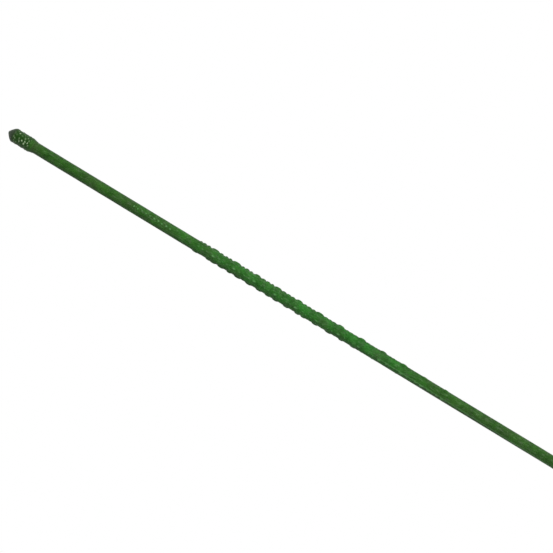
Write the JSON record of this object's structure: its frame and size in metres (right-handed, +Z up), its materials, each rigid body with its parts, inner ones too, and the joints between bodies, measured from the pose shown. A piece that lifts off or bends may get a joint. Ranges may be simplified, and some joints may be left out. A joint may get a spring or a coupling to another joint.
{
  "type": "plastic-coated steel garden stake",
  "caption": "Straight green garden stake: a thin steel tube in a plastic coat with raised nubs that hold ties, closed by a blunt moulded cap and a ground point.",
  "frame": {"origin": "on the stake's axis at the soil line, 300 mm above the tip of the ground point", "axes": "+Z up along the stake, from the ground point to the cap; +X towards the lane of long nubs, level with the middle of the nubbed band"},
  "size_m": [0.0138, 0.0138, 0.9],
  "materials": {
    "tube_steel": "bare rolled and seam-welded steel, hidden under the coat",
    "coat_plastic": "green polyethylene, extruded and rolled with nubs, soft sheen",
    "cap_plastic": "darker green moulded polyethylene with a pebbled grain"
  },
  "bodies": {
    "root": {"steel_tube": "tube_steel", "plastic_coat": "coat_plastic", "top_cap": "cap_plastic", "ground_point": "cap_plastic"}
  },
  "joints": []
}
